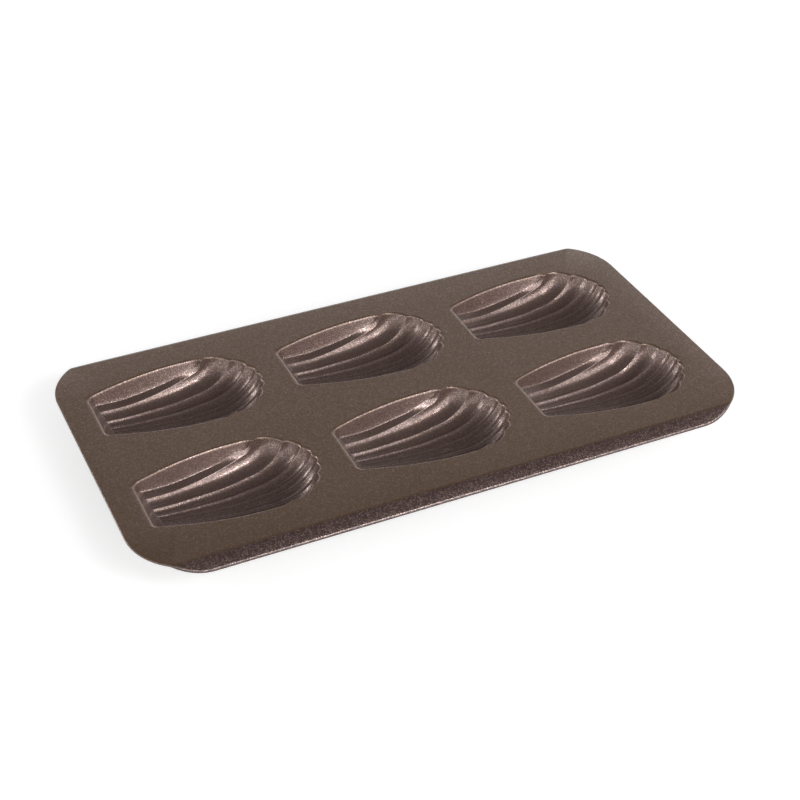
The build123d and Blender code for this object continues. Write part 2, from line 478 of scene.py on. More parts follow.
def station_lines(shell, station):
    """Foot and ridges on an upright plane: offset from the middle plane and depth under the fan axis."""
    slope = tan(shell.side_wall_lean)
    place = shell.fan_x - (shell.back + shell.fan_x) * STATION_SHARES[station]
    lines = []
    for k, row in enumerate(DEPTH_SHARE_ROWS):
        depth = shell.ridge_depth * row[station]
        end_x, end_y = shell.front * RIDGE_REACH_SHARES[k], shell.half_width * RIDGE_END_SHARES[k]
        back_y = shell.half_width * RIDGE_BACK_SHARES[k]
        offset = back_y + (place + shell.back) / (end_x + shell.back) * (end_y - back_y)
        if k == 0:
            offset = shell.half_width * MOUTH_SHARES[station] - slope * depth
        lines.append((offset, shell.fan_rise + depth))
    return place, lines


def fan_lines(shell, angle):
    """Foot and ridges on a plane turned up about the fan axis; over the deck they run on straight."""
    last = station_lines(shell, len(STATION_SHARES) - 1)[1]
    lines = []
    for k, (start_y, low) in enumerate(last):
        reach = shell.front * RIDGE_REACH_SHARES[k] - shell.fan_x
        end_y = shell.half_width * RIDGE_END_SHARES[k]
        level = reach / sqrt(1 - (shell.fan_rise / low) ** 2)
        radius = 1 / sqrt((sin(angle) / level) ** 2 + (cos(angle) / low) ** 2)
        if radius * cos(angle) < shell.fan_rise:
            slope = (level / low) ** 2 * shell.fan_rise / reach
            up = (shell.fan_rise * sin(angle) - reach * cos(angle)) / (slope * cos(angle) + sin(angle))
            radius = np.hypot(reach + slope * up, shell.fan_rise - up)
        lines.append((start_y + radius * sin(angle) / reach * (end_y - start_y), radius))
    return lines


def shell_columns(shell):
    """The lines along one half of a shell, from over its wall to its middle."""
    slope = tan(shell.side_wall_lean)
    knots, sections = [], []
    for station in range(len(STATION_SHARES)):
        place, lines = station_lines(shell, station)
        points = section_columns(lines, 1, slope, shell)
        knots.append(place)
        sections.append([(place, y, shell.fan_rise + v) for y, v in points])
    for step in range(1, FAN_STEPS + 1):
        angle = radians(90) * step / FAN_STEPS
        points = section_columns(fan_lines(shell, angle), max(cos(angle), MICRON), slope, shell)
        knots.append(shell.fan_x + angle * (shell.fan_rise + shell.ridge_depth) * FAN_SHARE)
        sections.append([(shell.fan_x - v * sin(angle), y, shell.fan_rise + v * cos(angle)) for y, v in points])
    knots, sections = np.array(knots), np.array(sections)
    bends = spline_slopes(knots, sections)
    return [Column(knots, sections[:, c], bends[:, c]) for c in range(sections.shape[1])]


def end_wall_rows(shell, columns):
    """Rows from the rim over the narrow end down its wall and round its foot, one point per column."""
    lean = shell.end_wall_lean
    normal = np.array((cos(lean), 0, sin(lean)))
    corner = np.array((-shell.back, 0, 0))
    wall_count = WALL_TOP_COLUMNS + WALL_LOW_COLUMNS + 1
    first = columns[0].knots[0]

    def cut(column, inset):
        return column.where(lambda p: (p - corner) @ normal - inset, first, shell.fan_x)

    chain = np.array([c.at(cut(c, 0)) for c in columns])
    steps = np.linalg.norm(np.diff(chain, axis=0), axis=1)
    far = np.concatenate((np.cumsum(steps[: wall_count - 1][::-1])[::-1], np.zeros(len(columns) - wall_count + 1)))
    ease = np.clip(far / CORNER_EASE, 0, 1)
    radii = shell.end_foot_radius + (shell.end_corner_radius - shell.end_foot_radius) * ease * ease * (3 - 2 * ease)
    bend_rows = []
    for k in range(END_BEND_ROWS + 1):
        angle = radians(90) * k / END_BEND_ROWS
        places = [cut(c, r * (1 - cos(angle))) for c, r in zip(columns, radii)]
        row = np.array([c.at(p) for c, p in zip(columns, places)])
        along = np.vstack((row[1] - row[0], row[2:] - row[:-2], (0, -1, 0)))
        inward = np.cross(along, normal)
        inward /= np.linalg.norm(inward, axis=1)[:, None]
        bend_rows.append(row + inward * (radii * (1 - sin(angle)))[:, None])
    starts = [cut(c, r) for c, r in zip(columns, radii)]
    chain = bend_rows[0]
    up = np.array((-sin(lean), 0, cos(lean)))
    foot = wall_count - 1
    tops = []
    run = np.concatenate(((0,), np.cumsum(np.linalg.norm(np.diff(chain, axis=0), axis=1))))
    for c, point in enumerate(chain):
        offset = chain[0][1] * (1 - (1 - END_TOP_SHARE) * min(c / foot, 1) ** 2)
        offset *= min((run[-1] - run[c]) / (run[-1] - run[foot]), 1)
        rise = (RIM_HEIGHT - point[2]) / up[2]
        tops.append(point + up * rise + np.array((0, offset - point[1], 0)))
    wall_rows = []
    for c, (point, top) in enumerate(zip(chain, tops)):
        low = point[2]
        zone = RIM_HEIGHT - min(RIM_HEIGHT + ZONE_DEPTH, ZONE_SHARE * (RIM_HEIGHT - low))
        flat = max(FLAT_HEIGHT, RIM_HEIGHT - FLAT_SHARE * (RIM_HEIGHT - zone))
        heights = [RIM_HEIGHT] + list(np.linspace(flat, zone, END_TOP_ROWS))
        heights += list(np.linspace(zone, low, END_LOW_ROWS + 1)[1:-1])
        span = max(RIM_HEIGHT - low, MICRON)
        wall_rows.append([point + (top - point) * min(max((h - low) / span, 0), 1) for h in heights])
    rows = [np.array(row) for row in zip(*wall_rows)]
    return rows + bend_rows, starts


def shell_rows(shell):
    """All points of one half shell, row by row, before its mouth is rounded."""
    columns = shell_columns(shell)
    rows, starts = end_wall_rows(shell, columns)
    foot = WALL_TOP_COLUMNS + WALL_LOW_COLUMNS
    last = columns[0].knots[-1]
    turns, ends = [], []
    for c, column in enumerate(columns):
        guide = columns[max(c, foot)]
        turns.append(guide.where(lambda p: p[2] + ZONE_DEPTH, shell.fan_x, last))
        ends.append(guide.where(lambda p: p[2] - RIM_HEIGHT, shell.fan_x, last))
    flats = [columns[max(c, foot)].where(lambda p: p[2] - FLAT_HEIGHT, shell.fan_x, last) for c in range(len(columns))]
    places = [[a + (b - a) * k / FLOOR_ROWS for a, b in zip(starts, turns)] for k in range(1, FLOOR_ROWS + 1)]
    steps = MOUTH_ROWS - 1
    places += [[a + (b - a) * k / steps for a, b in zip(turns, flats)] for k in range(1, MOUTH_ROWS)] + [ends]
    for row in places:
        row[0] = min(row[0], shell.fan_x)
        rows.append(np.array([c.at(p) for c, p in zip(columns, row)]))
    return np.array(rows)


def rounded_height(shell, height):
    """Height over the deck after the mouth is rounded: all that stood over the deck lies flat on it."""
    angle = atan2(1, MOUTH_SLOPE)
    run = shell.mouth_radius * tan(angle / 2)
    if height <= -run * sin(angle):
        return height
    if height >= run / MOUTH_SLOPE:
        return 0.0
    return sqrt(max(shell.mouth_radius**2 - (run - MOUTH_SLOPE * height) ** 2, 0)) - shell.mouth_radius


def shell_patch(shell):
    """One shell's food side as a smooth grid, hanging from the deck's level, mirrored from its half."""
    rows = shell_rows(shell)
    row_count, column_count = rows.shape[:2]
    patch = bmesh.new()
    bmesh.ops.create_grid(patch, x_segments=row_count - 1, y_segments=column_count - 1, size=0.5)
    for vert in patch.verts:
        row = round((vert.co.x + 0.5) * (row_count - 1))
        column = round((vert.co.y + 0.5) * (column_count - 1))
        x, y, z = rows[row][column]
        vert.co = (x, y if column < column_count - 1 else 0, rounded_height(shell, z))
    bmesh.ops.mirror(patch, geom=patch.verts[:] + patch.edges[:] + patch.faces[:], axis="Y", merge_dist=MICRON)
    bmesh.ops.remove_doubles(patch, verts=patch.verts, dist=MERGE_DISTANCE)
    near = [
        vert
        for vert in patch.verts
        if not vert.is_boundary
        and vert.co.z > -POLE_DEPTH
        and vert.co.x > shell.fan_x
        and np.hypot(vert.co.x - shell.fan_x, abs(vert.co.y) - rows[-1][0][1]) < POLE_REACH
    ]
    for _ in range(POLE_ROUNDS):
        bmesh.ops.smooth_vert(patch, verts=near, factor=0.5, use_axis_x=True, use_axis_y=True, use_axis_z=False)
    face_up(patch)
    return patch


def face_up(mesh):
    """Turns an open surface so that its food side looks up."""
    bmesh.ops.recalc_face_normals(mesh, faces=mesh.faces)
    if sum(face.normal.z * face.calc_area() for face in mesh.faces) < 0:
        bmesh.ops.reverse_faces(mesh, faces=mesh.faces)
    mesh.normal_update()


def join_copy(target, source):
    """Adds a copy of one bmesh to another and returns the new vertices and faces."""
    old_verts, old_faces = len(target.verts), len(target.faces)
    carrier = bpy.data.meshes.new("carrier")
    source.to_mesh(carrier)
    target.from_mesh(carrier)
    bpy.data.meshes.remove(carrier)
    target.verts.ensure_lookup_table()
    target.faces.ensure_lookup_table()
    return target.verts[old_verts:], target.faces[old_faces:]


def outline_loop(mesh, pan, inset):
    """Closed chain of edges round the pan's outline, drawn in by inset, at the deck's level."""
    loop = bmesh.new()
    bmesh.ops.create_grid(loop, x_segments=1, y_segments=1, size=0.5)
    bmesh.ops.scale(loop, vec=(pan.pan_length - 2 * inset, pan.pan_width - 2 * inset, 1), verts=loop.verts)
    bmesh.ops.bevel(
        loop,
        geom=loop.verts[:],
        offset=pan.corner_radius - inset,
        offset_type="OFFSET",
        affect="VERTICES",
        segments=CORNER_SEGMENTS,
        profile=0.5,
        material=-1,
    )
    bmesh.ops.delete(loop, geom=loop.faces[:], context="FACES_ONLY")
    old = len(mesh.edges)
    join_copy(mesh, loop)
    loop.free()
    mesh.edges.ensure_lookup_table()
    return mesh.edges[old:]


def shell_places(pan):
    """Where the shells' origins lie on the deck."""
    for i in range(pan.shells_along):
        for j in range(pan.shells_across):
            x = pan.shift_x + pan.pitch_x * (i - (pan.shells_along - 1) / 2)
            yield x, pan.pitch_y * (j - (pan.shells_across - 1) / 2)


def add_skin(mesh, pan, patch, depth, inset):
    """Adds one face of a layer: six shells and the deck between them, depth below the food side."""
    skin = bmesh.new()
    for x, y in shell_places(pan):
        verts = join_copy(skin, patch)[0]
        bmesh.ops.translate(skin, vec=(x, y, 0), verts=verts)
    rims = [edge for edge in skin.edges if edge.is_boundary]
    outer = outline_loop(skin, pan, inset)
    bmesh.ops.scale(skin, vec=[FILL_SCALE] * 3, verts=skin.verts)
    bmesh.ops.triangle_fill(skin, use_beauty=True, use_dissolve=False, edges=rims + outer, normal=(0, 0, 1))
    bmesh.ops.scale(skin, vec=[1 / FILL_SCALE] * 3, verts=skin.verts)
    face_up(skin)
    moves = [vert.normal * depth for vert in skin.verts]
    for vert, move in zip(skin.verts, moves):
        vert.co -= move
        vert.co.z = min(vert.co.z, -depth)
    join_copy(mesh, skin)
    skin.free()


def fold_bend(pan):
    """Radius of the fold's food side, and where the fold starts on either side of the middle."""
    bend = pan.fold_radius + pan.sheet_thickness
    return bend, pan.pan_width / 2 - pan.lip_run - bend * tan(pan.lip_angle / 2)


def fold_drop(pan, offset, depth):
    """Height against the deck's food side of a face at a depth, this far from the pan's long middle line."""
    bend, start = fold_bend(pan)
    run, radius = abs(offset) - start, bend - depth
    if run <= 0:
        return -depth
    if run <= radius * sin(pan.lip_angle):
        return sqrt(radius * radius - run * run) - bend
    slope = tan(pan.lip_angle)
    return radius * cos(pan.lip_angle) - bend - (run - radius * sin(pan.lip_angle)) * slope


def rim_arc(inset, depth, radius, start, count):
    """Quarter round of the cut edge as inset and depth, about a centre; start 0 begins on the face over it."""
    steps = [radians(start + 90 * k / count) for k in range(count + 1)]
    return [(inset - radius * sin(angle), depth - radius * cos(angle)) for angle in steps]


def wrap_edge(layer, pan, rim):
    """Extrudes the layer's outline round the cut edge, ring by ring, through insets and depths."""
    reach_x, reach_y = pan.pan_length / 2 - pan.corner_radius, pan.pan_width / 2 - pan.corner_radius
    edges = [edge for edge in layer.edges if edge.is_boundary]
    for inset, depth in rim:
        ring = bmesh.ops.extrude_edge_only(layer, edges=edges)["geom"]
        edges = [item for item in ring if isinstance(item, bmesh.types.BMEdge) and item.is_boundary]
        for vert in {vert for edge in edges for vert in edge.verts}:
            x, y = vert.co.xy
            centre = Vector((min(max(x, -reach_x), reach_x), min(max(y, -reach_y), reach_y)))
            x, y = centre + (vert.co.xy - centre).normalized() * (pan.corner_radius - inset)
            vert.co = (x, y, -depth)


def sheet_layer(pan, shell, top, bottom, rim):
    """Closed layer of the pan between two depths; rim lists inset and depth round its cut edge."""
    layer = bmesh.new()
    patch = shell_patch(shell)
    add_skin(layer, pan, patch, top, rim[0][0])
    wrap_edge(layer, pan, rim[1:])
    add_skin(layer, pan, patch, bottom, rim[-1][0])
    bmesh.ops.remove_doubles(layer, verts=[vert for vert in layer.verts if vert.is_boundary], dist=MERGE_DISTANCE)
    fold_edges(layer, pan)
    bmesh.ops.recalc_face_normals(layer, faces=layer.faces)
    bmesh.ops.translate(layer, vec=(0, 0, pan.deck_level), verts=layer.verts)
    patch.free()
    return layer


def fold_edges(layer, pan):
    """Bends the long edges down, after cuts that the bend follows."""
    bend, start = fold_bend(pan)
    for side in (-1, 1):
        for k in range(FOLD_CUTS + 1):
            offset = side * (start + bend * sin(pan.lip_angle * k / FOLD_CUTS))
            bmesh.ops.bisect_plane(
                layer,
                geom=layer.verts[:] + layer.edges[:] + layer.faces[:],
                plane_co=(0, offset, 0),
                plane_no=(0, 1, 0),
                dist=MICRON,
            )
    for vert in layer.verts:
        if abs(vert.co.y) > start:
            vert.co.z = fold_drop(pan, vert.co.y, -vert.co.z)


def bend_values(data):
    """How far each vertex stands out as a crest or lies in a hollow, from none to all."""
    count, edge_count = len(data.vertices), len(data.edges)
    points, normals = np.zeros(count * 3), np.zeros(count * 3)
    pairs = np.zeros(edge_count * 2, dtype=np.int64)
    data.vertices.foreach_get("co", points)
    data.vertex_normals.foreach_get("vector", normals)
    data.edges.foreach_get("vertices", pairs)
    points, normals, pairs = points.reshape(-1, 3), normals.reshape(-1, 3), pairs.reshape(-1, 2)
    way = points[pairs[:, 1]] - points[pairs[:, 0]]
    size = np.maximum(np.sum(way * way, axis=1), MICRON * MICRON)
    bend, share_count = np.zeros(count), np.zeros(count)
    for end, sign in ((0, 1), (1, -1)):
        rise = sign * np.sum(way * normals[pairs[:, end]], axis=1) / size
        np.add.at(bend, pairs[:, end], rise)
        np.add.at(share_count, pairs[:, end], 1)
    bend *= CREST_RADIUS / np.maximum(share_count, 1)
    return np.clip(-bend, 0, 1), np.clip(bend, 0, 1)


def finish_piece(name, mesh, node, material):
    """Makes an object of a bmesh that stands for a node of the frame."""
    if not mesh.faces:
        raise RuntimeError(name + " has no faces")
    data = bpy.data.meshes.new(name)
    mesh.to_mesh(data)
    mesh.free()
    data.shade_smooth()
    data.set_sharp_from_angle(angle=radians(SHARP_DEGREES))
    for label, values in zip(("crest", "hollow"), bend_values(data)):
        data.attributes.new(label, "FLOAT", "POINT").data.foreach_set("value", values.astype(np.float32))
    data.materials.append(material)
    piece = bpy.data.objects.new(name, data)
    bpy.context.scene.collection.objects.link(piece)
    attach(piece, "root")
    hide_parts(node)


class Nodes:
    """A node tree being filled: nodes are added by kind, with their sockets set or linked by name."""

    def __init__(self, tree):
        self.tree = tree

    def add(self, kind, sockets=None, **settings):
        """Adds a node with its settings, and sets or links its sockets."""
        node = self.tree.nodes.new(kind)
        for name, value in settings.items():
            setattr(node, name, value)
        for name, value in (sockets or {}).items():
            if isinstance(value, bpy.types.NodeSocket):
                self.tree.links.new(value, node.inputs[name])
            else:
                node.inputs[name].default_value = value
        return node

    def math(self, operation, first, second=0.0, clamp=False):
        """Result of a Math node."""
        return self.add("ShaderNodeMath", {0: first, 1: second}, operation=operation, use_clamp=clamp).outputs[0]

    def spread(self, value, low, high, to_low=0.0, to_high=1.0):
        """Moves a value from one range to another and keeps it inside."""
        sockets = {"Value": value, "From Min": low, "From Max": high, "To Min": to_low, "To Max": to_high}
        return self.add("ShaderNodeMapRange", sockets).outputs["Result"]

    def mix(self, factor, first, second):
        """Blend of two colours."""
        node = self.add("ShaderNodeMix", {"Factor": factor}, data_type="RGBA")
        for socket, value in ((node.inputs[6], first), (node.inputs[7], second)):
            if isinstance(value, bpy.types.NodeSocket):
                self.tree.links.new(value, socket)
            else:
                socket.default_value = tuple(value)[:3] + (1,)
        return node.outputs[2]

    def noise(self, vector, scale, detail=2.0, roughness=0.5):
        """Value of a noise texture."""
        sockets = {"Vector": vector, "Scale": scale, "Detail": detail, "Roughness": roughness}
        return self.add("ShaderNodeTexNoise", sockets).outputs["Fac"]

    def stretched(self, vector, scale):
        """Coordinates scaled by a factor for each axis."""
        return self.add("ShaderNodeMapping", {"Vector": vector, "Scale": scale}).outputs["Vector"]


def effect(name, inputs, outputs):
    """Starts a shader node group: its nodes, and the sockets of its named inputs and outputs."""
    tree = bpy.data.node_groups.new(name, "ShaderNodeTree")
    for label, kind, value in inputs:
        socket = tree.interface.new_socket(label, in_out="INPUT", socket_type=kind)
        if value is not None:
            socket.default_value = value
    for label, kind in outputs:
        tree.interface.new_socket(label, in_out="OUTPUT", socket_type=kind)
    nodes = Nodes(tree)
    return nodes, nodes.add("NodeGroupInput").outputs, nodes.add("NodeGroupOutput").inputs


def join(nodes, sockets, values):
    """Links values to sockets by their names."""
    for label, value in values.items():
        nodes.tree.links.new(value, sockets[label])


def flake_effect():
    """Metal flakes in a coat: small bright cells at random, with a second and coarser kind."""
    inputs = [
        ("Vector", "NodeSocketVector", None),
        ("Scale", "NodeSocketFloat", 2600.0),
        ("Share", "NodeSocketFloat", 0.3),
        ("Base", "NodeSocketColor", (0.1, 0.08, 0.07, 1)),
        ("Warm flake", "NodeSocketColor", (0.3, 0.2, 0.15, 1)),
        ("Cool flake", "NodeSocketColor", (0.2, 0.15, 0.2, 1)),
    ]
    outputs = [("Color", "NodeSocketColor"), ("Flake", "NodeSocketFloat"), ("Height", "NodeSocketFloat")]
    nodes, given, result = effect("coat_flakes", inputs, outputs)
    masks, tints = [], []
    for share_of_scale in FLAKE_SCALES:
        scale = nodes.math("MULTIPLY", given["Scale"], share_of_scale)
        cell = nodes.add("ShaderNodeTexVoronoi", {"Vector": given["Vector"], "Scale": scale})
        parts = nodes.add("ShaderNodeSeparateColor", {"Color": cell.outputs["Color"]}).outputs
        limit = nodes.math("SUBTRACT", 1.0, given["Share"])
        chosen = nodes.spread(nodes.math("SUBTRACT", parts["Red"], limit), 0.0, FLAKE_EASE)
        near = nodes.spread(cell.outputs["Distance"], *FLAKE_SPOT)
        masks.append(nodes.math("MULTIPLY", chosen, near))
        tints.append(nodes.spread(parts["Green"], *TINT_RANGE))
    flake = nodes.math("MAXIMUM", masks[0], nodes.math("MULTIPLY", masks[1], COARSE_WEIGHT))
    tint = nodes.mix(tints[0], given["Warm flake"], given["Cool flake"])
    join(nodes, result, {"Color": nodes.mix(flake, given["Base"], tint), "Flake": flake})
    join(nodes, result, {"Height": nodes.math("ADD", masks[0], masks[1])})
    return nodes.tree


def peel_effect():
    """Surface of a sprayed and baked coat: fine orange peel over a slow unevenness."""
    inputs = [
        ("Vector", "NodeSocketVector", None),
        ("Scale", "NodeSocketFloat", 700.0),
        ("Slow", "NodeSocketFloat", 0.5),
    ]
    nodes, given, result = effect("coat_peel", inputs, [("Height", "NodeSocketFloat"), ("Cloud", "NodeSocketFloat")])
    fine = nodes.noise(given["Vector"], given["Scale"], 3.0, 0.6)
    slow = nodes.noise(given["Vector"], nodes.math("MULTIPLY", given["Scale"], PEEL_SLOW_SCALE), 2.0)
    cloud = nodes.noise(given["Vector"], nodes.math("MULTIPLY", given["Scale"], CLOUD_SCALE), 4.0, 0.6)
    join(nodes, result, {"Height": nodes.math("ADD", fine, nodes.math("MULTIPLY", slow, given["Slow"]))})
    join(nodes, result, {"Cloud": nodes.spread(cloud, *CLOUD_RANGE)})
    return nodes.tree


def scuff_effect():
    """Fine scratches in two directions, in patches."""
    inputs = [("Vector", "NodeSocketVector", None), ("Amount", "NodeSocketFloat", 0.3)]
    nodes, given, result = effect("scuffs", inputs, [("Mask", "NodeSocketFloat")])
    lines = []
    for stretch in SCUFF_STRETCHES:
        line = nodes.noise(nodes.stretched(given["Vector"], stretch), 1.0, 2.0)
        lines.append(nodes.spread(line, *SCUFF_LINE_RANGE))
    patch = nodes.spread(nodes.noise(given["Vector"], SCUFF_PATCH_SCALE, 3.0), *SCUFF_PATCH_RANGE)
    both = nodes.math("MULTIPLY", nodes.math("MAXIMUM", lines[0], lines[1]), patch)
    join(nodes, result, {"Mask": nodes.math("MULTIPLY", both, given["Amount"], clamp=True)})
    return nodes.tree


def grain_effect():
    """Rolling grain of sheet metal along the pan."""
    inputs = [("Vector", "NodeSocketVector", None)]
    nodes, given, result = effect("rolling_grain", inputs, [("Grain", "NodeSocketFloat")])
    fine = nodes.noise(nodes.stretched(given["Vector"], GRAIN_STRETCH), 1.0, 4.0, 0.65)
    join(nodes, result, {"Grain": nodes.spread(fine, *GRAIN_RANGE)})
    return nodes.tree


EFFECTS = {"coat_flakes": flake_effect, "coat_peel": peel_effect, "scuffs": scuff_effect, "rolling_grain": grain_effect}


def place_effect(nodes, name, sockets):
    """Places a shared effect in a material with its own values, and builds it the first time."""
    tree = bpy.data.node_groups.get(name) or EFFECTS[name]()
    return nodes.add("ShaderNodeGroup", sockets, node_tree=tree).outputs


def new_material(name):
    """Node material with its shader and the object's own coordinates."""
    material = bpy.data.materials.new(name)
    material.use_nodes = True
    nodes = Nodes(material.node_tree)
    shader = material.node_tree.nodes["Principled BSDF"]
    return material, nodes, shader, nodes.add("ShaderNodeTexCoord").outputs["Object"]


def coat_material(name, finish, base, below, scuffs):
    """Non-stick coat: binder with metal flakes, orange peel, a painted highlight on the crests,
    painted shade and more roughness in the hollows, and scuffs.

    The binder has one colour at the deck's level and another below it, which on the food side is a
    painted reflection; the folded edges take a painted shade.
    """
    material, nodes, shader, spot = new_material(name)
    crest = nodes.add("ShaderNodeAttribute", attribute_name="crest").outputs["Fac"]
    hollow = nodes.add("ShaderNodeAttribute", attribute_name="hollow").outputs["Fac"]
    peel = place_effect(nodes, "coat_peel", {"Vector": spot, "Scale": finish.peel_scale})
    # Painted highlight on the crests, in patches, below the deck only
    patches = nodes.spread(nodes.noise(spot, CREST_HIGHLIGHT_SCALE, 3.0, 0.6), *CREST_HIGHLIGHT_RANGE, CREST_HIGHLIGHT_LEAST, 1.0)
    crest_highlight = nodes.math("MULTIPLY", nodes.math("MULTIPLY", crest, patches), finish.crest_highlight_share)
    clouded = nodes.mix(nodes.math("MULTIPLY", peel["Cloud"], finish.cloud), base, finish.cloud_colour)
    parts = nodes.add("ShaderNodeSeparateXYZ", {"Vector": spot}).outputs
    # Painted reflection: below the deck the binder takes a lighter, purple tint
    deep = nodes.spread(parts["Z"], *DEEP_HEIGHTS)
    crest_highlight = nodes.math("MULTIPLY", crest_highlight, deep)
    tinted = nodes.mix(deep, clouded, below)
    # Painted shade: the folded edges turn dark
    folded = nodes.spread(nodes.math("ABSOLUTE", parts["Y"]), *FOLD_REACHES)
    tinted = nodes.mix(folded, tinted, finish.fold_shade_colour)
    # Painted shade: the hollows turn dark
    hollow_shaded = nodes.mix(nodes.math("MULTIPLY", hollow, finish.hollow_shade_share), tinted, finish.hollow_shade_colour)
    flakes = place_effect(
        nodes,
        "coat_flakes",
        {
            "Vector": spot,
            "Scale": finish.flake_scale,
            "Share": finish.flake_share,
            "Base": hollow_shaded,
            "Warm flake": tuple(finish.warm_flake) + (1,),
            "Cool flake": tuple(finish.cool_flake) + (1,),
        },
    )
    # Painted highlight: the crests are lightened towards the scuffs' colour
    colour = nodes.mix(crest_highlight, flakes["Color"], finish.scuff_and_highlight_colour)
    scratch = place_effect(nodes, "scuffs", {"Vector": spot, "Amount": scuffs})["Mask"]
    foot = nodes.spread(parts["Z"], *FOOT_HEIGHTS, FOOT_SCUFF_LOW, 1.0)
    scratch = nodes.math("MULTIPLY", scratch, foot)
    colour = nodes.mix(scratch, colour, finish.scuff_and_highlight_colour)
    rough = nodes.spread(peel["Height"], *PEEL_RANGE, *(finish.roughness + part for part in PEEL_ROUGHNESS))
    for way, value in (("SUBTRACT", flakes["Flake"]), ("SUBTRACT", crest), ("ADD", hollow)):
        rough = nodes.math(way, rough, nodes.math("MULTIPLY", value, ROUGHNESS_STEP))
    metal = nodes.spread(flakes["Flake"], 0.0, 1.0, finish.binder_metal, finish.flake_metal)
    bumps = nodes.math("ADD", peel["Height"], nodes.math("MULTIPLY", flakes["Height"], FLAKE_RELIEF))
    bumps = nodes.math("SUBTRACT", bumps, nodes.math("MULTIPLY", scratch, SCRATCH_RELIEF))
    bump = nodes.add("ShaderNodeBump", {"Height": bumps, "Strength": 1.0, "Distance": finish.peel_depth})
    join(nodes, shader.inputs, {"Base Color": colour, "Roughness": rough, "Metallic": metal})
    join(nodes, shader.inputs, {"Normal": bump.outputs["Normal"]})
    shader.inputs["Coat Weight"].default_value = finish.gloss
    shader.inputs["Coat Roughness"].default_value = finish.gloss_roughness
    return material


def steel_material(finish):
    """Cold-rolled steel with its rolling grain, as it lies under the coats."""
    material, nodes, shader, spot = new_material("cold_rolled_steel")
    grain = place_effect(nodes, "rolling_grain", {"Vector": spot})["Grain"]
    scratch = place_effect(nodes, "scuffs", {"Vector": spot, "Amount": STEEL_SCUFFS})["Mask"]
    colour = nodes.mix(grain, [GRAIN_DARK * part for part in finish.steel_colour], finish.steel_colour)
    rough = nodes.spread(grain, 0.0, 1.0, *GRAIN_ROUGHNESS)
    height = nodes.math("SUBTRACT", nodes.math("MULTIPLY", grain, GRAIN_RELIEF), scratch)
    bump = nodes.add("ShaderNodeBump", {"Height": height, "Strength": 1.0, "Distance": GRAIN_DEPTH})
    join(nodes, shader.inputs, {"Base Color": colour, "Roughness": rough, "Normal": bump.outputs["Normal"]})
    shader.inputs["Metallic"].default_value = 1.0
    return material


class MADELEINE_OT_food_side_coat(bpy.types.Operator):
    """Make the coat of the food side, which also wraps the sheet's cut edge"""

    bl_idname = "madeleine.food_side_coat"
    bl_label = "Food side coat"

    def execute(self, context):
        scene = context.scene
        pan, finish = scene.pan_sizes, scene.coat_finish
        edge, coat, total = pan.edge_radius, pan.coat_thickness, pan.sheet_thickness
        rim = rim_arc(edge, edge, edge, 0, EDGE_STEPS) + [(0, total - coat), (coat, total - coat)]
        rim += rim_arc(edge, edge, edge - coat, 0, CORE_EDGE_STEPS)[::-1]
        layer = sheet_layer(pan, scene.shell_sizes, 0, coat, rim)
        # Below the deck the food side takes a tint that is painted reflection
        base, below = finish.top_colour, finish.shell_reflection_tint
        material = coat_material("nonstick_food_side", finish, base, below, finish.scuffs)
        finish_piece("food_side_coat", layer, "nonstick_top", material)
        return {"FINISHED"}


class MADELEINE_OT_steel_core(bpy.types.Operator):
    """Make the pressed steel sheet between the coats"""

    bl_idname = "madeleine.steel_core"
    bl_label = "Steel core"

    def execute(self, context):
        scene = context.scene
        pan = scene.pan_sizes
        edge, coat, total = pan.edge_radius, pan.coat_thickness, pan.sheet_thickness
        rim = rim_arc(edge, edge, edge - coat, 0, CORE_EDGE_STEPS) + [(coat, total - coat)]
        layer = sheet_layer(pan, scene.shell_sizes, coat, total - coat, rim)
        finish_piece("steel_core", layer, "steel_sheet", steel_material(scene.coat_finish))
        return {"FINISHED"}


class MADELEINE_OT_underside_coat(bpy.types.Operator):
    """Make the coat of the underside, scuffed where the pan stands"""

    bl_idname = "madeleine.underside_coat"
    bl_label = "Underside coat"

    def execute(self, context):
        scene = context.scene
        pan, finish = scene.pan_sizes, scene.coat_finish
        coat, total = pan.coat_thickness, pan.sheet_thickness
        rim = [(0, total - coat)] + rim_arc(coat, total - coat, coat, 90, LOW_EDGE_STEPS)
        layer = sheet_layer(pan, scene.shell_sizes, total - coat, total, rim)
        base = finish.under_colour
        material = coat_material("nonstick_underside", finish, base, base, finish.foot_scuffs)
        finish_piece("underside_coat", layer, "nonstick_underside", material)
        return {"FINISHED"}


def aim(holder, target):
    """Turns a lamp so that it shines at a point."""
    way = Vector(target) - holder.location
    holder.rotation_euler = way.to_track_quat("-Z", "Y").to_euler()


def add_softbox(name, place, size, power):
    """Rectangular lamp that shines at the middle of the pan."""
    lamp = bpy.data.lights.new(name, "AREA")
    lamp.shape = "RECTANGLE"
    lamp.size, lamp.size_y = size
    lamp.energy = power
    holder = bpy.data.objects.new(name, lamp)
    holder.location = place
    aim(holder, (0, 0, 0))
    bpy.context.scene.collection.objects.link(holder)


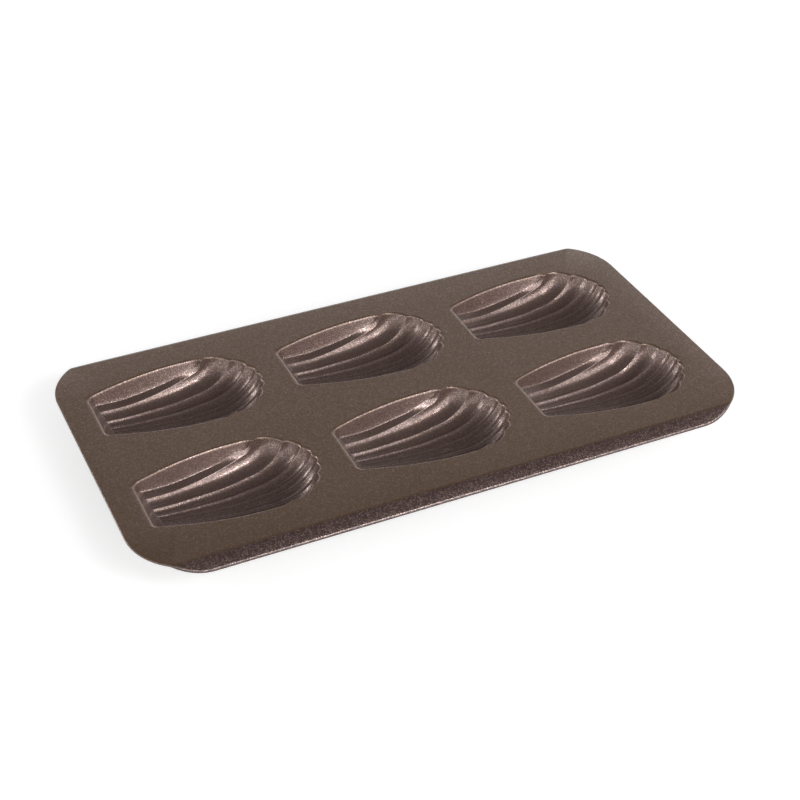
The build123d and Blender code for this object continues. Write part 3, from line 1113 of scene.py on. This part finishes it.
def add_floor(studio):
    """Pale floor that looks white to the camera and keeps the pan's shadow."""
    mesh = bmesh.new()
    bmesh.ops.create_grid(mesh, x_segments=1, y_segments=1, size=studio.floor_size / 2)
    data = bpy.data.meshes.new("floor")
    mesh.to_mesh(data)
    mesh.free()
    floor = bpy.data.objects.new("floor", data)
    bpy.context.scene.collection.objects.link(floor)
    material, nodes, shader, spot = new_material("pale_floor")
    grey = [FLOOR_DARK * part for part in studio.floor_colour]
    colour = nodes.mix(nodes.noise(spot, FLOOR_PATCH_SCALE), grey, studio.floor_colour)
    rough = nodes.spread(nodes.noise(spot, FLOOR_GRAIN_SCALE), *FLOOR_GRAIN_RANGE, *FLOOR_ROUGHNESS)
    join(nodes, shader.inputs, {"Base Color": colour, "Roughness": rough})
    seen = nodes.add("ShaderNodeLightPath").outputs["Is Camera Ray"]
    join(nodes, shader.inputs, {"Emission Strength": nodes.math("MULTIPLY", seen, studio.floor_lift)})
    shader.inputs["Emission Color"].default_value = (1, 1, 1, 1)
    data.materials.append(material)


def add_surround(studio):
    """Surround that is brightest at the horizon in front, and white where the camera sees it."""
    world = bpy.data.worlds.new("studio")
    bpy.context.scene.world = world
    world.use_nodes = True
    nodes = Nodes(world.node_tree)
    way = nodes.add("ShaderNodeTexCoord").outputs["Generated"]
    parts = nodes.add("ShaderNodeSeparateXYZ", {"Vector": way}).outputs
    level = nodes.spread(parts["Z"], studio.horizon_height, studio.top_height, studio.horizon_level, studio.top_level)
    level = nodes.math("MULTIPLY", level, nodes.spread(parts["Y"], *SIDE_RANGE, 1.0, studio.back_level))
    seen = nodes.add("ShaderNodeLightPath").outputs["Is Camera Ray"]
    rest = nodes.math("MULTIPLY", level, nodes.math("SUBTRACT", 1.0, seen))
    background = world.node_tree.nodes["Background"]
    background.inputs["Color"].default_value = (1, 1, 1, 1)
    join(nodes, background.inputs, {"Strength": nodes.math("ADD", rest, seen)})


class MADELEINE_OT_stage(bpy.types.Operator):
    """Make the floor, the studio light and the camera"""

    bl_idname = "madeleine.stage"
    bl_label = "Stage"

    def execute(self, context):
        scene = context.scene
        studio = scene.pan_studio
        add_floor(studio)
        add_surround(studio)
        for side in ("back", "top", "front"):
            place, size, power = (getattr(studio, side + part) for part in ("_place", "_size", "_power"))
            add_softbox(side + "_softbox", place, size, power)
        camera = bpy.data.cameras.new("camera")
        camera.lens = studio.lens
        camera.sensor_width = SENSOR_WIDTH
        eye = bpy.data.objects.new("camera", camera)
        eye.location = studio.camera_place
        eye.rotation_euler = studio.camera_turn
        scene.collection.objects.link(eye)
        scene.camera = eye
        scene.view_settings.view_transform = "Standard"
        return {"FINISHED"}


class MADELEINE_PT_pan(bpy.types.Panel):
    """Sizes, finishes and makers of the madeleine pan"""

    bl_idname = "MADELEINE_PT_pan"
    bl_label = "Madeleine pan"
    bl_space_type = "VIEW_3D"
    bl_region_type = "UI"
    bl_category = "Madeleine pan"

    def draw(self, context):
        scene = context.scene
        for maker in MAKERS:
            self.layout.operator(maker.bl_idname)
        for label, group in (
            ("Pan", scene.pan_sizes),
            ("Shell", scene.shell_sizes),
            ("Coats", scene.coat_finish),
            ("Studio", scene.pan_studio),
        ):
            box = self.layout.box()
            box.label(text=label)
            for name in group.__annotations__:
                box.prop(group, name)


GROUPS = {"pan_sizes": PanSizes, "shell_sizes": ShellSizes, "coat_finish": CoatFinish, "pan_studio": PanStudio}
MAKERS = (
    MADELEINE_OT_food_side_coat,
    MADELEINE_OT_steel_core,
    MADELEINE_OT_underside_coat,
    MADELEINE_OT_stage,
)
CLASSES = tuple(GROUPS.values()) + MAKERS + (MADELEINE_PT_pan,)


def register():
    """Registers the classes and hangs the property groups on the scene."""
    for item in CLASSES:
        bpy.utils.register_class(item)
    for name, group in GROUPS.items():
        setattr(bpy.types.Scene, name, bpy.props.PointerProperty(type=group))


def unregister():
    """Takes the property groups and the classes away again."""
    for name in GROUPS:
        delattr(bpy.types.Scene, name)
    for item in reversed(CLASSES):
        bpy.utils.unregister_class(item)


def main():
    """Makes the whole scene."""
    register()
    bpy.ops.madeleine.food_side_coat()
    bpy.ops.madeleine.steel_core()
    bpy.ops.madeleine.underside_coat()
    bpy.ops.madeleine.stage()


if __name__ == "__main__":
    main()
